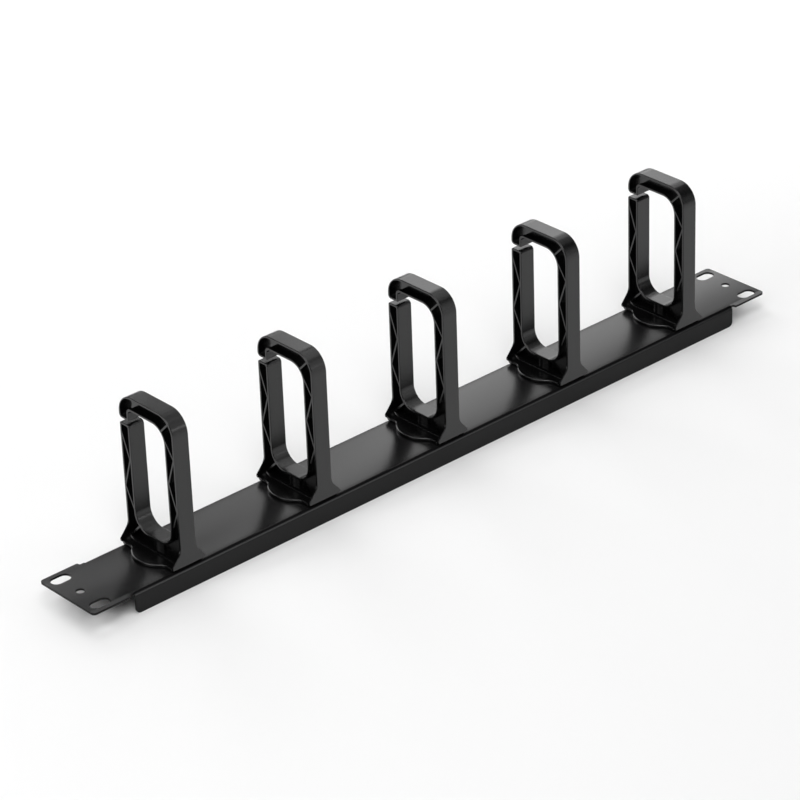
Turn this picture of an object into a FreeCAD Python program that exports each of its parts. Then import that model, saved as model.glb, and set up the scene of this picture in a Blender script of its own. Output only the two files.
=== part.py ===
import FreeCAD, Part
import os, math
import Sketcher
from FreeCAD import Vector, Placement, Rotation

# Horizontal cable manager, one rack unit high: a folded steel panel that bolts
# to the rails of a 19 inch rack, and five moulded cable rings on its face.
# Millimetres.  X runs along the panel, Z out of its face, the panel rests on
# the edges of its two flanges at Z = 0 and the centre of the panel is X = Y = 0.
# The split gates of the rings are on the +Y side.

os.makedirs("parts", exist_ok=True)
doc = FreeCAD.newDocument("cable_manager")

# ---------------------------------------------------------------- dimensions
sheet = doc.addObject("Spreadsheet::Sheet", "dims")
DIMS = [
    # panel
    ("panel_length", 482.6, "overall length, the 19 inch rack width"),
    ("panel_width", 43.94, "width over the ears, one rack unit less its clearance"),
    ("sheet_gauge", 1.2, "steel sheet"),
    ("channel_width", 42.6, "over the outer faces of the two flanges"),
    ("channel_left", 214.6, "centre line to the left ends of the flanges"),
    ("channel_right", 215.7, "centre line to the right ends of the flanges"),
    ("channel_depth", 12.2, "face of the panel to the flange edges"),
    ("bend_outer", 2.6, "outer radius of the fold"),
    ("flange_corner", 2.6, "rounded corners of the flanges"),
    ("ear_corner", 2.2, "rounded corners of the ears"),
    ("ear_start", 217.5, "centre line to the inner end of each ear's edge"),
    ("relief_floor", 20.1, "inner end of the bend reliefs from the centre line"),
    ("relief_lip", 0.9, "radius where the relief leaves the ear's edge"),
    ("slot_pitch_long", 465.1, "rack slots, centre to centre along the panel"),
    ("slot_pitch_across", 31.75, "rack slots, centre to centre across the panel"),
    ("slot_length", 11.6, "rack slot, overall"),
    ("slot_width", 7.0, "rack slot"),
    ("ear_hole", 4.8, "middle hole of each ear"),
    # rings
    ("ring_pitch", 90.0, "between two rings"),
    ("ring_depth", 9.6, "width of a ring's band, along the panel"),
    ("ring_half", 21.4, "centre line to the outer face of a leg"),
    ("ring_top", 85.6, "panel face to the top of the ring"),
    ("mouth_half", 13.9, "centre line to the inner face of a leg"),
    ("mouth_low", 10.3, "panel face to the floor of the opening"),
    ("mouth_high", 77.6, "panel face to the roof of the opening"),
    ("mouth_round", 8.9, "corner radius of the opening"),
    ("crook_round", 2.5, "inner corner beside the hook's nose"),
    ("top_round", 11.3, "outer corner above the closed leg"),
    ("hook_round", 10.8, "outer corner above the hook's nose"),
    ("nose_low", 71.3, "lower end of the hook's nose"),
    ("nose_round", 2.3, "outer corner of the nose"),
    ("nose_heel", 0.6, "inner corner of the nose"),
    ("gate_leg_top", 68.8, "top of the leg below the gate"),
    ("gate_leg_outer", 1.0, "outer corner of that leg's top"),
    ("gate_leg_inner", 2.0, "inner corner of that leg's top"),
    ("wall_outer", 1.2, "outer wall of the band"),
    ("wall_inner", 1.15, "inner wall of the band"),
    ("web_gauge", 1.6, "web in the middle of the band"),
    ("rib_half", 0.5, "half the thickness of a stiffening rib"),
    ("sole_top", 3.5, "top of the lowest wall of the band"),
    # solid gusset that hangs from the top wall between the recess and the hook
    ("gusset_high", 4.3, "where the gusset's sloping side leaves the top wall"),
    ("gusset_tip", 10.7, "lower tip of the gusset, from the centre line"),
    ("gusset_low", 79.95, "lower tip of the gusset, from the panel face"),
    ("gusset_side", 9.3, "where the gusset's steep side meets the top wall"),
    # foot
    ("plate_gauge", 1.9, "foot plate"),
    ("plate_half_long", 19.25, "foot plate, half its length across the panel"),
    ("plate_half_wide", 9.8, "foot plate, half its width along the panel"),
    ("disc_radius", 16.1, "round middle of the foot plate"),
    ("plate_hollow", 4.0, "hollow corners where the disc meets the strip"),
    ("plate_edge", 0.6, "rounding of the foot plate's upper edge"),
    ("plate_bevel", 0.5, "bevel of the foot plate's lower edge"),
    ("flare_half_wide", 10.5, "flared end of a leg, half its width"),
    ("flare_start", 9.9, "height where a leg starts to flare"),
    ("flare_end", 3.3, "height where the flare reaches its full width"),
    ("flare_hollow", 7.0, "hollow where the flare leaves the leg"),
    ("flare_shoulder", 0.9, "rounding where the flare ends"),
    ("ramp_round", 4.0, "hollow between the flared leg and the foot plate"),
    ("ramp_half_wide", 8.0, "half the width of that hollow's bed"),
    ("root_round", 0.4, "hollow between the band and the foot plate"),
    ("edge_round", 0.35, "rounding of the edges of the band and of the opening"),
    # fixing
    ("boss_across", 8.8, "screw boss"),
    ("screw_across", 4.8, "thread diameter of the screw"),
    ("screw_bore_depth", 9.2, "blind bore for the screw"),
    ("screw_reach", 9.6, "screw, below its head"),
    ("head_across", 9.4, "screw head"),
    ("head_tall", 3.0, "screw head"),
    ("drive_long", 4.6, "cross recess, tip to tip"),
    ("drive_wide", 1.1, "cross recess, one blade"),
    ("drive_deep", 1.7, "cross recess"),
    ("screw_clear", 5.4, "panel hole for the screw"),
    ("peg_across", 4.0, "locating peg"),
    ("peg_reach", 1.9, "locating peg below the foot plate"),
    ("peg_offset", 13.0, "locating peg from the ring's centre"),
    ("peg_clear", 4.3, "panel hole for a peg"),
]
for row, (alias, value, note) in enumerate(DIMS, start=1):
    sheet.set("A%d" % row, alias)
    sheet.set("B%d" % row, repr(value))
    sheet.set("C%d" % row, note)
    sheet.setAlias("B%d" % row, alias)
doc.recompute()


class Size:
    """A number that carries the expression it came from."""

    def __init__(self, value, text):
        self.value = float(value)
        self.text = text

    @staticmethod
    def of(other):
        return other if isinstance(other, Size) else Size(other, repr(float(other)))

    def __add__(self, other):
        other = Size.of(other)
        return Size(self.value + other.value, "(%s + %s)" % (self.text, other.text))

    def __sub__(self, other):
        other = Size.of(other)
        return Size(self.value - other.value, "(%s - %s)" % (self.text, other.text))

    def __mul__(self, other):
        other = Size.of(other)
        return Size(self.value * other.value, "(%s * %s)" % (self.text, other.text))

    def __truediv__(self, other):
        other = Size.of(other)
        return Size(self.value / other.value, "(%s / %s)" % (self.text, other.text))

    def __neg__(self):
        return Size(-self.value, "(0 - %s)" % self.text)

    def __radd__(self, other):
        return Size.of(other) + self

    def __rsub__(self, other):
        return Size.of(other) - self


def dim(alias):
    return Size(sheet.get(alias), "dims." + alias)


# ------------------------------------------------------------------- helpers
def make_body(label):
    body = doc.addObject("PartDesign::Body", label)
    body.Label = label
    return body


def origin_plane(body, role):
    for feature in body.Origin.OriginFeatures:
        if feature.Role == role:
            return feature
    raise RuntimeError("no " + role)


def make_sketch(body, name, role, offset=None):
    sketch = body.newObject("Sketcher::SketchObject", name)
    sketch.AttachmentSupport = [(origin_plane(body, role), "")]
    sketch.MapMode = "FlatFace"
    if offset is not None:
        offset = Size.of(offset)
        sketch.AttachmentOffset = Placement(Vector(0, 0, offset.value), Rotation())
        sketch.setExpression("AttachmentOffset.Base.z", offset.text)
    return sketch


def pin(sketch, geo, pos, x, y):
    """Hold one point at sheet-driven coordinates."""
    for kind, size in (("DistanceX", x), ("DistanceY", y)):
        size = Size.of(size)
        k = sketch.addConstraint(Sketcher.Constraint(kind, -1, 1, geo, pos, size.value))
        sketch.setExpression("Constraints[%d]" % k, size.text)


def set_radius(sketch, geo, radius):
    radius = Size.of(radius)
    k = sketch.addConstraint(Sketcher.Constraint("Radius", geo, radius.value))
    sketch.setExpression("Constraints[%d]" % k, radius.text)


def outline(sketch, corners):
    """Closed polygon of (x, y, radius or None); each rounded corner is a
    tangent arc, and each corner's virtual point is held by the sheet."""
    n = len(corners)
    P = [Vector(Size.of(c[0]).value, Size.of(c[1]).value, 0) for c in corners]
    R = [None if c[2] is None else Size.of(c[2]).value for c in corners]
    enter, leave, centre, left = [None] * n, [None] * n, [None] * n, [False] * n
    for k in range(n):
        a = (P[k] - P[k - 1])
        b = (P[(k + 1) % n] - P[k])
        a.normalize()
        b.normalize()
        if R[k] is None:
            enter[k] = leave[k] = P[k]
            continue
        turn = math.acos(max(-1.0, min(1.0, a.dot(b))))
        back = R[k] * math.tan(turn / 2)
        enter[k] = P[k] - a * back
        leave[k] = P[k] + b * back
        left[k] = (a.x * b.y - a.y * b.x) > 0
        side = Vector(-a.y, a.x, 0) if left[k] else Vector(a.y, -a.x, 0)
        centre[k] = enter[k] + side * R[k]
    lines = [sketch.addGeometry(Part.LineSegment(leave[k], enter[(k + 1) % n]), False)
             for k in range(n)]
    for k in range(n):
        before, after = lines[k - 1], lines[k]
        if R[k] is None:
            sketch.addConstraint(Sketcher.Constraint("Coincident", before, 2, after, 1))
            pin(sketch, after, 1, corners[k][0], corners[k][1])
            continue
        start, end = (enter[k], leave[k]) if left[k] else (leave[k], enter[k])
        a0 = math.atan2(start.y - centre[k].y, start.x - centre[k].x)
        a1 = math.atan2(end.y - centre[k].y, end.x - centre[k].x)
        if a1 < a0:
            a1 += 2 * math.pi
        arc = sketch.addGeometry(Part.ArcOfCircle(
            Part.Circle(centre[k], Vector(0, 0, 1), R[k]), a0, a1), False)
        mark = sketch.addGeometry(Part.Point(P[k]), True)
        pin(sketch, mark, 1, corners[k][0], corners[k][1])
        sketch.addConstraint(Sketcher.Constraint("PointOnObject", mark, 1, before))
        sketch.addConstraint(Sketcher.Constraint("PointOnObject", mark, 1, after))
        first, second = (1, 2) if left[k] else (2, 1)
        sketch.addConstraint(Sketcher.Constraint("Tangent", before, 2, arc, first))
        sketch.addConstraint(Sketcher.Constraint("Tangent", arc, second, after, 1))
        set_radius(sketch, arc, corners[k][2])


def slot(sketch, x, y, length, width):
    """Full-round slot along the sketch's first axis."""
    x, y, length, width = (Size.of(v) for v in (x, y, length, width))
    radius = width / 2
    reach = (length - width) / 2
    ends = []
    for sign, a0 in ((-1, math.pi / 2), (1, -math.pi / 2)):
        g = sketch.addGeometry(Part.ArcOfCircle(Part.Circle(
            Vector(x.value + sign * reach.value, y.value, 0), Vector(0, 0, 1), radius.value),
            a0, a0 + math.pi), False)
        ends.append(g)
    lines = [sketch.addGeometry(Part.LineSegment(
        Vector(x.value - reach.value, y.value + s * radius.value, 0),
        Vector(x.value + reach.value, y.value + s * radius.value, 0)), False) for s in (1, -1)]
    sketch.addConstraint(Sketcher.Constraint("Tangent", lines[0], 1, ends[0], 1))
    sketch.addConstraint(Sketcher.Constraint("Tangent", lines[1], 1, ends[0], 2))
    sketch.addConstraint(Sketcher.Constraint("Tangent", lines[1], 2, ends[1], 1))
    sketch.addConstraint(Sketcher.Constraint("Tangent", lines[0], 2, ends[1], 2))
    pin(sketch, ends[0], 3, x - reach, y)
    pin(sketch, ends[1], 3, x + reach, y)
    set_radius(sketch, ends[0], radius)
    set_radius(sketch, ends[1], radius)


def circle(sketch, x, y, radius):
    radius = Size.of(radius)
    g = sketch.addGeometry(Part.Circle(
        Vector(Size.of(x).value, Size.of(y).value, 0), Vector(0, 0, 1), radius.value), False)
    pin(sketch, g, 3, x, y)
    set_radius(sketch, g, radius)


def bind(feature, prop, size):
    size = Size.of(size)
    setattr(feature, prop, size.value)
    feature.setExpression(prop, size.text)


def pad(body, name, sketch, length, both_ways=False, reverse=False):
    feature = body.newObject("PartDesign::Pad", name)
    feature.Profile = sketch
    feature.Type = "Length"
    bind(feature, "Length", length)
    if both_ways:
        feature.Midplane = True
    feature.Reversed = reverse
    feature.Refine = True
    doc.recompute()
    return feature


def pocket(body, name, sketch, length, both_ways=False, reverse=False):
    before = body.Shape.Volume
    feature = body.newObject("PartDesign::Pocket", name)
    feature.Profile = sketch
    feature.Type = "Length"
    bind(feature, "Length", length)
    if both_ways:
        feature.Midplane = True
    feature.Reversed = reverse
    feature.Refine = True
    doc.recompute()
    if not body.Shape.Volume < before - 0.5:
        raise RuntimeError("%s %s cuts nothing" % (body.Label, name))
    return feature


def edges_where(shape, test):
    names = []
    for k, edge in enumerate(shape.Edges, start=1):
        if test(edge):
            names.append("Edge%d" % k)
    return names


def fillet(body, name, radius, test, expect=None):
    base = body.Tip
    names = edges_where(base.Shape, test)
    if not names or (expect is not None and len(names) != expect):
        raise RuntimeError("%s %s found %d edges" % (body.Label, name, len(names)))
    before = base.Shape.Volume
    feature = body.newObject("PartDesign::Fillet", name)
    feature.Base = (base, names)
    bind(feature, "Radius", radius)
    doc.recompute()
    if feature.State and ("Invalid" in feature.State or "Error" in feature.State):
        raise RuntimeError("%s %s failed" % (body.Label, name))
    if abs(body.Shape.Volume - before) < 1e-4:
        raise RuntimeError("%s %s changed nothing" % (body.Label, name))
    return feature


def chamfer(body, name, size, test):
    base = body.Tip
    names = edges_where(base.Shape, test)
    before = base.Shape.Volume
    feature = body.newObject("PartDesign::Chamfer", name)
    feature.Base = (base, names)
    bind(feature, "Size", size)
    doc.recompute()
    if not names or not body.Shape.Volume < before - 1e-4:
        raise RuntimeError("%s %s cuts nothing" % (body.Label, name))
    return feature


def span(edge):
    return edge.BoundBox


def near(a, b, tol=1e-3):
    return abs(a - b) < tol


# --------------------------------------------------------------------- panel
ring_steps = [-2, -1, 0, 1, 2]
NIL = Size(0, "0")


def build_panel():
    body = make_body("panel")
    half_len = dim("panel_length") / 2
    half_wid = dim("panel_width") / 2
    left, right = dim("channel_left"), dim("channel_right")
    chan_half = dim("channel_width") / 2
    gauge = dim("sheet_gauge")
    top = dim("channel_depth")
    r_out = dim("bend_outer")
    r_in = r_out - gauge

    # folded channel
    sketch = make_sketch(body, "ChannelSection", "YZ_Plane", -left)
    outline(sketch, [
        (-chan_half, NIL, None),
        (gauge - chan_half, NIL, None),
        (gauge - chan_half, top - gauge, r_in),
        (chan_half - gauge, top - gauge, r_in),
        (chan_half - gauge, NIL, None),
        (chan_half, NIL, None),
        (chan_half, top, r_out),
        (-chan_half, top, r_out),
    ])
    pad(body, "Channel", sketch, left + right)
    fillet(body, "FlangeCorners", dim("flange_corner"),
           lambda e: near(span(e).ZMax, 0) and near(span(e).XLength, 0), expect=4)

    # flat face with the two ears; between the reliefs it is only as wide as
    # the flat between the folds
    sketch = make_sketch(body, "FaceOutline", "XY_Plane", top - gauge)
    flat = chan_half - r_out
    floor = dim("relief_floor")
    lip = dim("relief_lip")
    hollow = Size(0.8, "0.8")
    corner = dim("ear_corner")
    ear_in = dim("ear_start")
    outline(sketch, [
        (-half_len, -half_wid, corner),
        (-ear_in, -half_wid, lip),
        (-ear_in, -floor, hollow),
        (-left, -floor, None),
        (-left, -flat, None),
        (right, -flat, None),
        (right, -floor, None),
        (ear_in, -floor, hollow),
        (ear_in, -half_wid, lip),
        (half_len, -half_wid, corner),
        (half_len, half_wid, corner),
        (ear_in, half_wid, lip),
        (ear_in, floor, hollow),
        (right, floor, None),
        (right, flat, None),
        (-left, flat, None),
        (-left, floor, None),
        (-ear_in, floor, hollow),
        (-ear_in, half_wid, lip),
        (-half_len, half_wid, corner),
    ])
    pad(body, "Face", sketch, gauge)

    # rack slots and the middle holes of the ears
    sketch = make_sketch(body, "RackHoles", "XY_Plane", top)
    along = dim("slot_pitch_long") / 2
    across = dim("slot_pitch_across") / 2
    for x in (-along, along):
        for y in (-across, across):
            slot(sketch, x, y, dim("slot_length"), dim("slot_width"))
        circle(sketch, x, NIL, dim("ear_hole") / 2)
    pocket(body, "RackOpenings", sketch, gauge * 2)

    # screw and peg holes below the rings
    sketch = make_sketch(body, "RingHoles", "XY_Plane", top)
    for step in ring_steps:
        x = dim("ring_pitch") * step
        circle(sketch, x, NIL, dim("screw_clear") / 2)
        circle(sketch, x, -dim("peg_offset"), dim("peg_clear") / 2)
        circle(sketch, x, dim("peg_offset"), dim("peg_clear") / 2)
    pocket(body, "RingOpenings", sketch, gauge * 2)
    return body


# ---------------------------------------------------------------- cable ring
def zigzag(sketch, points):
    """Rib that runs to and fro between the two walls of a leg."""
    half = dim("rib_half")
    outline(sketch, [(y - half, z, None) for y, z in points]
            + [(y + half, z, None) for y, z in reversed(points)])


def build_ring(label, step):
    body = make_body(label)
    half = dim("ring_half")
    mouth = dim("mouth_half")
    low, high = dim("mouth_low"), dim("mouth_high")
    top = dim("ring_top")
    thick, thin = dim("wall_outer"), dim("wall_inner")
    wide = dim("plate_half_wide")
    plate = dim("plate_gauge")
    long_half = dim("plate_half_long")
    slim = dim("ring_depth") / 2
    ramp = dim("ramp_round")
    inner = half - thick

    # foot plate: a strip with a round middle
    sketch = make_sketch(body, "PlateStrip", "XY_Plane")
    corner = Size(0.8, "0.8")
    outline(sketch, [
        (-wide, -long_half, corner), (wide, -long_half, corner),
        (wide, long_half, corner), (-wide, long_half, corner),
    ])
    pad(body, "Strip", sketch, plate)
    sketch = make_sketch(body, "PlateDisc", "XY_Plane")
    circle(sketch, NIL, NIL, dim("disc_radius"))
    pad(body, "Disc", sketch, plate)
    gauge = plate.value
    fillet(body, "PlateHollows", dim("plate_hollow"),
           lambda e: near(abs(span(e).XMin), wide.value) and near(span(e).XLength, 0)
           and near(span(e).ZLength, gauge) and 11 < abs(span(e).YMin) < 14, expect=4)
    fillet(body, "PlateEdge", dim("plate_edge"),
           lambda e: near(span(e).ZMin, gauge) and near(span(e).ZMax, gauge))
    chamfer(body, "PlateBevel", dim("plate_bevel"),
            lambda e: near(span(e).ZMin, 0) and near(span(e).ZMax, 0))

    # flared ends of the legs; they stand beyond the foot plate's ends, clear of
    # the panel's folds, and a hollow bed ties them to the plate
    start, end = dim("flare_start"), dim("flare_end")
    full = dim("flare_half_wide")
    for name, offset in (("FlareNear", inner), ("FlareFar", -half)):
        sketch = make_sketch(body, name + "Outline", "XZ_Plane", offset)
        outline(sketch, [
            (-wide - 0.5, plate, None),
            (wide + 0.5, plate, None),
            (full, end, dim("flare_shoulder")),
            (slim, start, dim("flare_hollow")),
            (slim, start + 5.0, None),
            (-slim, start + 5.0, None),
            (-slim, start, dim("flare_hollow")),
            (-full, end, dim("flare_shoulder")),
        ])
        pad(body, name, sketch, thick)
    sketch = make_sketch(body, "RampOutline", "YZ_Plane")
    for sign in (-1, 1):
        foot = (inner - ramp) * sign
        wall = inner * sign
        centre = Vector(foot.value, plate.value + ramp.value, 0)
        a0 = -math.pi / 2 if sign > 0 else math.pi
        arc = sketch.addGeometry(Part.ArcOfCircle(
            Part.Circle(centre, Vector(0, 0, 1), ramp.value), a0, a0 + math.pi / 2), False)
        base = sketch.addGeometry(Part.LineSegment(
            Vector(foot.value, plate.value, 0), Vector(foot.value, plate.value - 0.8, 0)), False)
        floor_line = sketch.addGeometry(Part.LineSegment(
            Vector(foot.value, plate.value - 0.8, 0),
            Vector(long_half.value * sign, plate.value - 0.8, 0)), False)
        step_line = sketch.addGeometry(Part.LineSegment(
            Vector(long_half.value * sign, plate.value - 0.8, 0),
            Vector(long_half.value * sign, plate.value, 0)), False)
        under = sketch.addGeometry(Part.LineSegment(
            Vector(long_half.value * sign, plate.value, 0),
            Vector(wall.value + 0.7 * sign, plate.value, 0)), False)
        back = sketch.addGeometry(Part.LineSegment(
            Vector(wall.value + 0.7 * sign, plate.value, 0),
            Vector(wall.value + 0.7 * sign, plate.value + ramp.value, 0)), False)
        lid = sketch.addGeometry(Part.LineSegment(
            Vector(wall.value + 0.7 * sign, plate.value + ramp.value, 0),
            Vector(wall.value, plate.value + ramp.value, 0)), False)
        low_end, high_end = (1, 2) if sign > 0 else (2, 1)
        for g, gp, k, kp in ((arc, low_end, base, 1), (base, 2, floor_line, 1),
                             (floor_line, 2, step_line, 1), (step_line, 2, under, 1),
                             (under, 2, back, 1), (back, 2, lid, 1), (lid, 2, arc, high_end)):
            sketch.addConstraint(Sketcher.Constraint("Coincident", g, gp, k, kp))
        pin(sketch, arc, 3, foot, plate + ramp)
        pin(sketch, base, 1, foot, plate)
        pin(sketch, base, 2, foot, plate - 0.8)
        pin(sketch, step_line, 1, long_half * sign, plate - 0.8)
        pin(sketch, under, 1, long_half * sign, plate)
        pin(sketch, back, 1, wall + 0.7 * sign, plate)
        pin(sketch, back, 2, wall + 0.7 * sign, plate + ramp)
        k = sketch.addConstraint(Sketcher.Constraint("DistanceY", -1, 1, lid, 2, (plate + ramp).value))
        sketch.setExpression("Constraints[%d]" % k, (plate + ramp).text)
    pad(body, "Ramps", sketch, dim("ramp_half_wide") * 2, both_ways=True)

    # the underside slopes up from the foot plate's ends to the flared ends
    sketch = make_sketch(body, "HeelOutline", "YZ_Plane")
    for sign in (-1, 1):
        outline(sketch, [
            ((long_half - 1.2) * sign, Size.of(0.3), None),
            ((long_half + 0.2) * sign, Size.of(0.3), None),
            ((half - 0.3) * sign, plate, None),
            ((long_half - 1.2) * sign, plate, None),
        ])
    pad(body, "Heels", sketch, wide * 2 - 0.3, both_ways=True)

    # the band: a web in the middle ...
    frame = [
        (-long_half, NIL, None),
        (long_half, NIL, None),
        (long_half, plate, None),
        (half, plate, None),
        (half, dim("gate_leg_top"), dim("gate_leg_outer")),
        (mouth, dim("gate_leg_top"), dim("gate_leg_inner")),
        (mouth, low, dim("mouth_round")),
        (-mouth, low, dim("mouth_round")),
        (-mouth, high, dim("mouth_round")),
        (mouth, high, dim("crook_round")),
        (mouth, dim("nose_low"), dim("nose_heel")),
        (half, dim("nose_low"), dim("nose_round")),
        (half, top, dim("hook_round")),
        (-half, top, dim("top_round")),
        (-half, plate, None),
        (-long_half, plate, None),
    ]
    sketch = make_sketch(body, "WebOutline", "YZ_Plane")
    outline(sketch, frame)
    pad(body, "Web", sketch, dim("web_gauge"), both_ways=True)

    # ... and walls of the full depth round the recess in each side
    sketch = make_sketch(body, "WallOutline", "YZ_Plane")
    outline(sketch, frame)
    skin = mouth + thin
    floor, roof = low - thin, high + thin
    lid = top - thick
    outline(sketch, [
        (inner, dim("gate_leg_top") - thin, Size(0.5, "0.5")),
        (inner, dim("sole_top"), Size(0.8, "0.8")),
        (-inner, dim("sole_top"), Size(0.8, "0.8")),
        (-inner, lid, dim("top_round") - thick),
        (dim("gusset_high"), lid, Size(2.0, "2")),
        (dim("gusset_tip"), dim("gusset_low"), Size(0.3, "0.3")),
        (dim("gusset_side"), lid, Size(1.2, "1.2")),
        (inner, lid, dim("hook_round") - 2.5),
        (inner, dim("nose_low") + thin, Size(0.9, "0.9")),
        (skin, dim("nose_low") + thin, Size(0.6, "0.6")),
        (skin, roof, Size(3.0, "3")),
        (-skin, roof, dim("mouth_round") + thin),
        (-skin, floor, dim("mouth_round") + thin),
        (skin, floor, dim("mouth_round") + thin),
        (skin, dim("gate_leg_top") - thin, Size(0.9, "0.9")),
    ])
    pad(body, "Walls", sketch, dim("ring_depth"), both_ways=True)

    # stiffening ribs
    sketch = make_sketch(body, "RibOutline", "YZ_Plane")
    out_tip = inner + 0.3
    in_tip = skin + 0.15
    root = skin - 0.45
    zigzag(sketch, [(-root, Size.of(71.3)), (-out_tip, Size.of(62.5)), (-in_tip, Size.of(47.5)),
                    (-out_tip, Size.of(32.6)), (-in_tip - 1.4, Size.of(22.8))])
    zigzag(sketch, [(out_tip + 0.3, Size.of(64.0)), (in_tip, Size.of(48.7)),
                    (out_tip, Size.of(32.5)), (root, Size.of(20.3))])
    # corner ribs at 45 degrees
    rise = dim("rib_half") * 1.414
    for y0, z0, y1, z1 in ((-11.55, 75.45, -17.8, 81.7), (11.3, 12.1, 20.3, 3.1), (-10.55, 11.53, -18.2, 3.88)):
        a, b, c, d = (Size.of(v) for v in (y0, z0, y1, z1))
        outline(sketch, [(a, b - rise, None), (c, d - rise, None), (c, d + rise, None), (a, b + rise, None)])
    pad(body, "Ribs", sketch, dim("ring_depth"), both_ways=True)

    # small hollow along the root of the band
    fillet(body, "BandRoot", dim("root_round"),
           lambda e: near(abs(span(e).XMin), slim.value) and near(span(e).XLength, 0)
           and near(span(e).ZMin, gauge) and near(span(e).ZMax, gauge) and span(e).YLength > 1)

    # screw boss, its bore, and two pegs that stop the ring from turning
    sketch = make_sketch(body, "BossCircle", "XY_Plane")
    circle(sketch, NIL, NIL, dim("boss_across") / 2)
    pad(body, "Boss", sketch, floor + 0.4)
    sketch = make_sketch(body, "BoreCircle", "XY_Plane")
    circle(sketch, NIL, NIL, dim("screw_across") / 2)
    pocket(body, "Bore", sketch, dim("screw_bore_depth"), reverse=True)
    sketch = make_sketch(body, "PegCircles", "XY_Plane")
    circle(sketch, NIL, -dim("peg_offset"), dim("peg_across") / 2)
    circle(sketch, NIL, dim("peg_offset"), dim("peg_across") / 2)
    pad(body, "Pegs", sketch, dim("peg_reach"), reverse=True)

    # rounded edges of the band and of the flared ends; they run on round the
    # nose and the gate into the opening
    tall, reach = top.value, half.value
    bend_a, bend_b, bend_c = (dim(k).value for k in ("top_round", "hook_round", "nose_round"))
    tip = dim("nose_low").value

    def on_outside(y, z):
        if z < plate.value + 0.2:
            return False
        if near(abs(y), reach, 0.02) or near(z, tall, 0.02):
            return True
        for cy, cz, r in ((bend_a - reach, tall - bend_a, bend_a),
                          (reach - bend_b, tall - bend_b, bend_b),
                          (reach - bend_c, tip + bend_c, bend_c)):
            above = z > cz - 0.02
            if near(math.hypot(y - cy, z - cz), r, 0.02) and abs(y) > abs(cy) - 0.02 and (
                    above if cz > tip + 2.5 else not above or near(z, cz, 0.03)):
                return True
        return False

    def outer_edge(e):
        if span(e).XLength > 2 * slim.value - 0.1 or e.Length < 0.05:
            return False
        points = e.discretize(5)
        return all(abs(p.x) > slim.value - 0.05 and on_outside(p.y, p.z) for p in points)

    fillet(body, "BandEdges", dim("edge_round"), outer_edge)

    # place
    x = dim("ring_pitch") * step
    z = dim("channel_depth")
    body.Placement = Placement(Vector(x.value, 0, z.value), Rotation())
    body.setExpression("Placement.Base.x", x.text)
    body.setExpression("Placement.Base.z", z.text)
    return body


# --------------------------------------------------------------------- screw
def build_screw(label, step):
    body = make_body(label)
    shank = dim("screw_across") / 2
    head = dim("head_across") / 2
    tall = dim("head_tall")
    reach = dim("screw_reach")
    sketch = make_sketch(body, "ScrewSection", "XZ_Plane")
    outline(sketch, [
        (NIL, -tall, None),
        (head, -tall, Size(2.2, "2.2")),
        (head, NIL, None),
        (shank, NIL, None),
        (shank, reach - 1.2, None),
        (shank - 1.2, reach, None),
        (NIL, reach, None),
    ])
    turn = body.newObject("PartDesign::Revolution", "Turned")
    turn.Profile = sketch
    turn.ReferenceAxis = (sketch, ["V_Axis"])
    turn.Angle = 360
    doc.recompute()
    sketch = make_sketch(body, "CrossRecess", "XY_Plane", -tall)
    long_half, wide_half = dim("drive_long") / 2, dim("drive_wide") / 2
    outline(sketch, [
        (-long_half, -wide_half, None), (-wide_half, -wide_half, None),
        (-wide_half, -long_half, None), (wide_half, -long_half, None),
        (wide_half, -wide_half, None), (long_half, -wide_half, None),
        (long_half, wide_half, None), (wide_half, wide_half, None),
        (wide_half, long_half, None), (-wide_half, long_half, None),
        (-wide_half, wide_half, None), (-long_half, wide_half, None),
    ])
    pocket(body, "Recess", sketch, dim("drive_deep"), reverse=True)
    x = dim("ring_pitch") * step
    z = dim("channel_depth") - dim("sheet_gauge")
    body.Placement = Placement(Vector(x.value, 0, z.value), Rotation())
    body.setExpression("Placement.Base.x", x.text)
    body.setExpression("Placement.Base.z", z.text)
    return body


parts = [build_panel()]
for k, step in enumerate(ring_steps, start=1):
    parts.append(build_ring("cable_ring_%d" % k, step))
for k, step in enumerate(ring_steps, start=1):
    parts.append(build_screw("ring_screw_%d" % k, step))
doc.recompute()

for obj in doc.Objects:
    if "Invalid" in obj.State or "Error" in obj.State:
        raise RuntimeError("%s: %s" % (obj.Label, obj.State))
    if obj.TypeId == "Sketcher::SketchObject" and obj.solve() != 0:
        raise RuntimeError("%s does not solve" % obj.Label)
for body in parts:
    shape = body.Shape
    if shape.isNull() or not shape.isValid() or len(shape.Solids) != 1:
        raise RuntimeError("%s: bad shape" % body.Label)
    box = shape.BoundBox
    print("%-14s %9.1f mm3  %5d faces  x %.2f..%.2f  y %.2f..%.2f  z %.2f..%.2f" % (
        body.Label, shape.Volume, len(shape.Faces),
        box.XMin, box.XMax, box.YMin, box.YMax, box.ZMin, box.ZMax))
for body in parts:
    body.Shape.exportStep("parts/%s.step" % body.Label)
print("wrote", len(parts), "parts")
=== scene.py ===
import math

import bpy
from mathutils import Matrix, Vector

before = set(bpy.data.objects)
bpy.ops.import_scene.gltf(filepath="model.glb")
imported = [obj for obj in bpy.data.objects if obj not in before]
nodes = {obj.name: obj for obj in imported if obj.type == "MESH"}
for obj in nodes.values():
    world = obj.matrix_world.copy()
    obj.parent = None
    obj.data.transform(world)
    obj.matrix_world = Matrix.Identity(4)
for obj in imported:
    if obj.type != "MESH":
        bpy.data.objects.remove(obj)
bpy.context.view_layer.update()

scene = bpy.context.scene
RINGS = [n for n in sorted(nodes) if n.startswith("cable_ring")]
SCREWS = [n for n in sorted(nodes) if n.startswith("ring_screw")]


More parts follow.
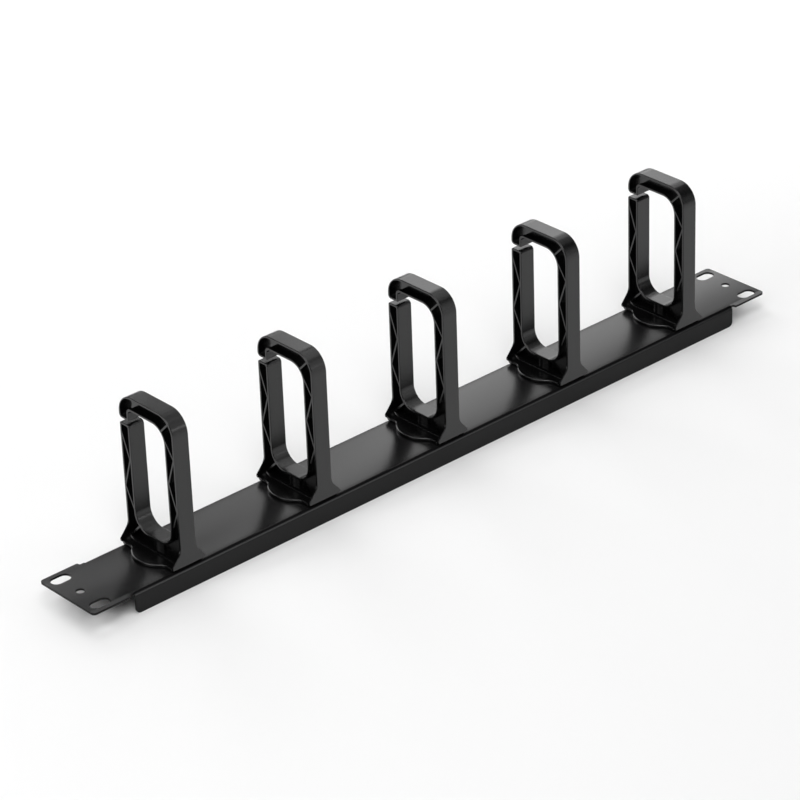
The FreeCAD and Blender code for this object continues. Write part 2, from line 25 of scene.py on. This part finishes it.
# ------------------------------------------------------------ node helpers
def new_material(name):
    m = bpy.data.materials.new(name)
    m.use_nodes = True
    t = m.node_tree
    for n in list(t.nodes):
        t.nodes.remove(n)
    out = t.nodes.new("ShaderNodeOutputMaterial")
    bsdf = t.nodes.new("ShaderNodeBsdfPrincipled")
    t.links.new(bsdf.outputs["BSDF"], out.inputs["Surface"])
    coord = t.nodes.new("ShaderNodeTexCoord")
    return m, t, bsdf, coord.outputs["Object"]


def noise(t, vector, scale, detail=2.0, rough=0.5, stretch=None):
    if stretch is not None:
        mp = t.nodes.new("ShaderNodeMapping")
        mp.inputs["Scale"].default_value = stretch
        t.links.new(vector, mp.inputs["Vector"])
        vector = mp.outputs["Vector"]
    n = t.nodes.new("ShaderNodeTexNoise")
    n.inputs["Scale"].default_value = scale
    n.inputs["Detail"].default_value = detail
    n.inputs["Roughness"].default_value = rough
    t.links.new(vector, n.inputs["Vector"])
    return n.outputs["Fac"]


def axes(t, vector):
    n = t.nodes.new("ShaderNodeSeparateXYZ")
    t.links.new(vector, n.inputs[0])
    return n.outputs


def spread(t, value, low, high, from_low=0.3, from_high=0.7):
    n = t.nodes.new("ShaderNodeMapRange")
    n.inputs["From Min"].default_value = from_low
    n.inputs["From Max"].default_value = from_high
    n.inputs["To Min"].default_value = low
    n.inputs["To Max"].default_value = high
    t.links.new(value, n.inputs["Value"])
    return n.outputs["Result"]


def plus(t, a, b, operation="ADD"):
    n = t.nodes.new("ShaderNodeMath")
    n.operation = operation
    t.links.new(a, n.inputs[0])
    t.links.new(b, n.inputs[1])
    return n.outputs[0]


def times(t, a, factor):
    n = t.nodes.new("ShaderNodeMath")
    n.operation = "MULTIPLY"
    n.inputs[1].default_value = factor
    t.links.new(a, n.inputs[0])
    return n.outputs[0]


def steps(t, value, table):
    """Straight lines between the (place, value) pairs of the table."""
    low, high = table[0][0], table[-1][0]
    ramp = t.nodes.new("ShaderNodeValToRGB")
    elements = ramp.color_ramp.elements
    while len(elements) > 1:
        elements.remove(elements[-1])
    elements[0].position = 0.0
    elements[0].color = (table[0][1],) * 3 + (1.0,)
    for place, level in table[1:]:
        element = elements.new((place - low) / (high - low))
        element.color = (level,) * 3 + (1.0,)
    t.links.new(spread(t, value, 0.0, 1.0, low, high), ramp.inputs["Fac"])
    return ramp.outputs["Color"]


def tint(t, value, dark, light):
    n = t.nodes.new("ShaderNodeMix")
    n.data_type = "RGBA"
    n.inputs["A"].default_value = (*dark, 1.0)
    n.inputs["B"].default_value = (*light, 1.0)
    t.links.new(value, n.inputs["Factor"])
    return n.outputs["Result"]


def bump(t, height, distance, strength=1.0, before=None):
    n = t.nodes.new("ShaderNodeBump")
    n.inputs["Strength"].default_value = strength
    n.inputs["Distance"].default_value = distance
    t.links.new(height, n.inputs["Height"])
    if before is not None:
        t.links.new(before, n.inputs["Normal"])
    return n.outputs["Normal"]


# --------------------------------------------------------------- materials
def bowed_sheet(t, vector, crown, reach, sag):
    """Height of a face that bows up along its middle with the radius crown,
    as far as its folds at plus and minus reach, and sags between its ends
    with the radius sag."""
    parts = axes(t, vector)
    near = t.nodes.new("ShaderNodeClamp")
    near.inputs["Min"].default_value = -reach
    near.inputs["Max"].default_value = reach
    t.links.new(parts["Y"], near.inputs["Value"])
    across = times(t, plus(t, near.outputs[0], near.outputs[0], "MULTIPLY"), -0.5 / crown)
    along = times(t, plus(t, parts["X"], parts["X"], "MULTIPLY"), 0.5 / sag)
    return plus(t, across, along)


def powder_coat():
    """Satin black powder coat: shallow orange peel with a finer grain on it,
    on a sheet that the folding has left slightly crowned.  Its reflection
    strength is painted: weak down the flanges, with a painted bright line
    and a painted dark band across the outside of the folds."""
    m, t, bsdf, xyz = new_material("powder_coat_black")
    peel = noise(t, xyz, 650.0, 2.0, 0.45)
    grain = noise(t, xyz, 3200.0, 2.0, 0.6)
    cloud = noise(t, xyz, 22.0, 3.0, 0.55)
    t.links.new(tint(t, spread(t, cloud, 0.0, 1.0), (0.0038, 0.0038, 0.0040), (0.0052, 0.0052, 0.0054)),
                bsdf.inputs["Base Color"])
    t.links.new(spread(t, cloud, 0.22, 0.26), bsdf.inputs["Roughness"])
    # painted reflection bands, set by height: the flange reflects weakly, a
    # bright line and then a nearly black band are painted across the outside
    # of the fold, and the face above reflects more strongly
    height = steps(t, axes(t, xyz)["Z"], (
        (0.00900, 0.18), (0.01050, 0.18), (0.01075, 0.60), (0.01115, 0.60),
        (0.01150, 0.03), (0.01200, 0.03), (0.01213, 0.20), (0.01219, 0.38)))
    # painted shade: the face reflects less in a strip along each edge where it turns into the fold
    edge = t.nodes.new("ShaderNodeMath")
    edge.operation = "ABSOLUTE"
    t.links.new(axes(t, xyz)["Y"], edge.inputs[0])
    painted_fold_shade = steps(t, edge.outputs[0], ((0.0165, 1.0), (0.0187, 0.6), (0.0190, 1.0)))
    t.links.new(plus(t, height, painted_fold_shade, "MULTIPLY"), bsdf.inputs["Specular IOR Level"])
    bowed = bump(t, bowed_sheet(t, xyz, 0.19, 0.0187, 4.6), 1.0)
    first = bump(t, peel, 0.000022, 0.5, bowed)
    t.links.new(bump(t, grain, 0.000006, 0.5, first), bsdf.inputs["Normal"])
    bsdf.inputs["IOR"].default_value = 1.5
    return m


def moulded_plastic():
    """Satin black moulded plastic with the fine grain of an eroded mould."""
    m, t, bsdf, xyz = new_material("moulded_plastic_black")
    spark = noise(t, xyz, 2600.0, 3.0, 0.6)
    flow = noise(t, xyz, 60.0, 3.0, 0.5, stretch=(1.0, 1.0, 0.25))
    t.links.new(tint(t, spread(t, flow, 0.0, 1.0), (0.0012, 0.0012, 0.0013), (0.0019, 0.0019, 0.0020)),
                bsdf.inputs["Base Color"])
    t.links.new(spread(t, flow, 0.22, 0.27), bsdf.inputs["Roughness"])
    t.links.new(bump(t, spark, 0.000006, 0.5), bsdf.inputs["Normal"])
    bsdf.inputs["IOR"].default_value = 1.53
    return m


def zinc_plate():
    """Bright zinc on the screws, a little cloudy."""
    m, t, bsdf, xyz = new_material("zinc_plate")
    cloud = noise(t, xyz, 900.0, 3.0, 0.6)
    fine = noise(t, xyz, 5200.0, 2.0, 0.6)
    t.links.new(tint(t, spread(t, cloud, 0.0, 1.0), (0.56, 0.57, 0.58), (0.68, 0.68, 0.67)),
                bsdf.inputs["Base Color"])
    t.links.new(spread(t, cloud, 0.26, 0.40), bsdf.inputs["Roughness"])
    t.links.new(bump(t, fine, 0.000005, 0.6), bsdf.inputs["Normal"])
    bsdf.inputs["Metallic"].default_value = 1.0
    return m


def dress(name, material):
    mesh = nodes[name].data
    mesh.materials.clear()
    mesh.materials.append(material)


coat, plastic, zinc = powder_coat(), moulded_plastic(), zinc_plate()
dress("panel", coat)
for name in RINGS:
    dress(name, plastic)
for name in SCREWS:
    dress(name, zinc)

# ------------------------------------------------------------------- stage
floor_mesh = bpy.data.meshes.new("floor")
R = 30.0
floor_mesh.from_pydata([(-R, -R, 0), (R, -R, 0), (R, R, 0), (-R, R, 0)], [], [(0, 1, 2, 3)])
floor = bpy.data.objects.new("floor", floor_mesh)
scene.collection.objects.link(floor)
fm, ft, fb, fxyz = new_material("floor_white")
ft.links.new(tint(ft, spread(ft, noise(ft, fxyz, 3.0, 2.0), 0.0, 1.0), (0.83, 0.83, 0.83), (0.84, 0.84, 0.84)),
             fb.inputs["Base Color"])
fb.inputs["Roughness"].default_value = 0.9
fb.inputs["Specular IOR Level"].default_value = 0.0
floor_mesh.materials.append(fm)


# ------------------------------------------------------------------ lights
def area_light(name, place, target, size, size_y, radiance, seen=False):
    light = bpy.data.lights.new(name, "AREA")
    light.shape = "RECTANGLE"
    light.size, light.size_y = size, size_y
    # radiance of an area light is power / (pi * area)
    light.energy = radiance * math.pi * size * size_y
    obj = bpy.data.objects.new(name, light)
    obj.location = place
    obj.rotation_euler = (Vector(target) - Vector(place)).to_track_quat("-Z", "Y").to_euler()
    obj.visible_camera = seen
    scene.collection.objects.link(obj)
    return obj


# name, centre, facing, width, height, radiance
SOFTBOXES = [
    ("top_01", (-0.200, -0.600, 1.452), (0.0, 0.0, -1.0), 1.10, 1.10, 1.96),
    ("side_02", (0.704, -1.500, 0.500), (-1.0, 0.0, 0.0), 0.30, 0.16, 6.83),
    ("far_03", (-2.500, -2.500, 4.000), (0.4683, 0.4683, -0.7493), 3.00, 3.00, 4.02),
    ("back_04", (0.200, 1.400, 0.800), (-0.1231, -0.8616, -0.4924), 0.90, 0.80, 3.36),
    ("left_05", (-1.300, 0.000, 0.800), (0.8517, 0.0000, -0.5241), 0.90, 0.80, 3.18),
    ("side_06", (0.712, 0.050, 0.200), (-1.0, 0.0, 0.0), 1.00, 0.12, 3.14),
    ("side_07", (0.714, -0.100, 1.250), (-1.0, 0.0, 0.0), 1.30, 0.34, 1.77),
    ("side_08", (0.716, 0.250, 0.700), (-1.0, 0.0, 0.0), 0.20, 0.24, 1.76),
    ("top_09", (0.050, 0.650, 1.468), (0.0, 0.0, -1.0), 1.00, 1.00, 1.64),
    ("side_10", (0.720, 0.850, 1.120), (-1.0, 0.0, 0.0), 0.20, 0.60, 1.46),
    ("side_11", (0.722, 0.800, 0.540), (-1.0, 0.0, 0.0), 0.90, 0.56, 1.28),
    ("side_12", (0.724, 0.450, 0.340), (-1.0, 0.0, 0.0), 0.20, 0.16, 1.06),
    ("side_13", (0.726, 0.750, 0.480), (-1.0, 0.0, 0.0), 0.40, 0.68, 0.88),
    ("side_14", (0.728, -1.200, 0.710), (-1.0, 0.0, 0.0), 0.90, 1.42, 0.87),
    ("side_15", (0.730, 0.250, 0.950), (-1.0, 0.0, 0.0), 1.40, 0.26, 0.50),
]
for name, centre, facing, width, height, radiance in SOFTBOXES:
    area_light(name, centre, tuple(Vector(centre) + Vector(facing)), width, height, radiance)

world = bpy.data.worlds.new("studio")
scene.world = world
world.use_nodes = True
background = world.node_tree.nodes.get("Background") or world.node_tree.nodes.new("ShaderNodeBackground")
background.inputs["Color"].default_value = (1.0, 1.0, 1.0, 1.0)
background.inputs["Strength"].default_value = 0.02
world_out = world.node_tree.nodes.get("World Output") or world.node_tree.nodes.new("ShaderNodeOutputWorld")
world.node_tree.links.new(background.outputs["Background"], world_out.inputs["Surface"])

scene.view_settings.view_transform = "Standard"
scene.view_settings.look = "None"
scene.view_settings.exposure = 0.0
scene.view_settings.gamma = 1.0

# ------------------------------------------------------------------ camera
AZ, EL, ROLL = math.radians(41.269), math.radians(28.66), math.radians(-2.14)
forward = Vector((math.sin(AZ) * math.cos(EL), math.cos(AZ) * math.cos(EL), -math.sin(EL)))
right = forward.cross(Vector((0, 0, 1))).normalized()
up = right.cross(forward)
right2 = right * math.cos(ROLL) + up * math.sin(ROLL)
up2 = -right * math.sin(ROLL) + up * math.cos(ROLL)
cam_data = bpy.data.cameras.new("camera")
cam_data.sensor_fit = "HORIZONTAL"
cam_data.sensor_width = 36.0
cam_data.lens = 3481.94 / 800.0 * 36.0
cam_data.clip_end = 100.0
cam = bpy.data.objects.new("camera", cam_data)
place = Matrix.Identity(4)
for row in range(3):
    place[row][0], place[row][1], place[row][2] = right2[row], up2[row], -forward[row]
place.translation = Vector((-1.07894, -1.20916, 0.91476))
cam.matrix_world = place
scene.collection.objects.link(cam)
scene.camera = cam

# ------------------------------------------------------------------ finish
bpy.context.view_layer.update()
